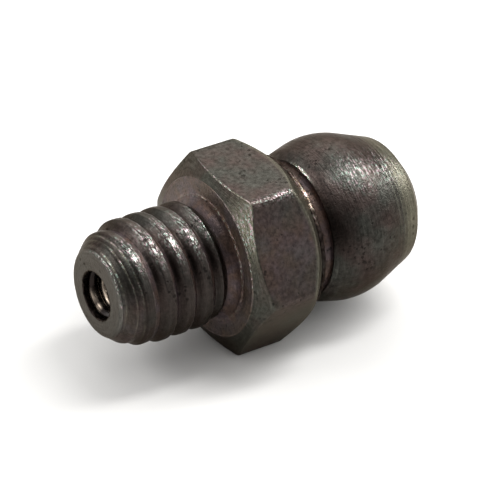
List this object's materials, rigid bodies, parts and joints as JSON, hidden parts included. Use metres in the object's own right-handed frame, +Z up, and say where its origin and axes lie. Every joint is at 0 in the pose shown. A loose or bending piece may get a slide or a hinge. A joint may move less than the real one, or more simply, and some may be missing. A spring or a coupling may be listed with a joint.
{
  "type": "grease nipple",
  "caption": "Straight grease nipple: threaded shank, spanner hexagon and coupler head, with a spring-loaded check ball inside.",
  "frame": {"origin": "centre of the base: below the middle of the length, on the surface that the lower hexagon flat lies on", "axes": "+X along the nipple's axis from the threaded end to the head, +Z up, square to the lower hexagon flat"},
  "size_m": [0.0134, 0.008, 0.007],
  "materials": {
    "passivated_zinc_steel": "dull zinc plating with a dark passivation, worn bright on the thread crests",
    "bearing_steel": "ground and polished",
    "spring_steel": "bright drawn wire"
  },
  "bodies": {
    "fitting": {"body": "passivated_zinc_steel", "spring": "spring_steel"},
    "check_ball": {"ball": "bearing_steel"}
  },
  "joints": [
    {"name": "ball_lift", "type": "slide", "parent": "fitting", "child": "check_ball", "axis": [-1, 0, 0], "range_m": [0, 0.001], "stiffness_N_per_m": 4500, "springref_m": -0.0002, "deforming": ["spring"]}
  ]
}
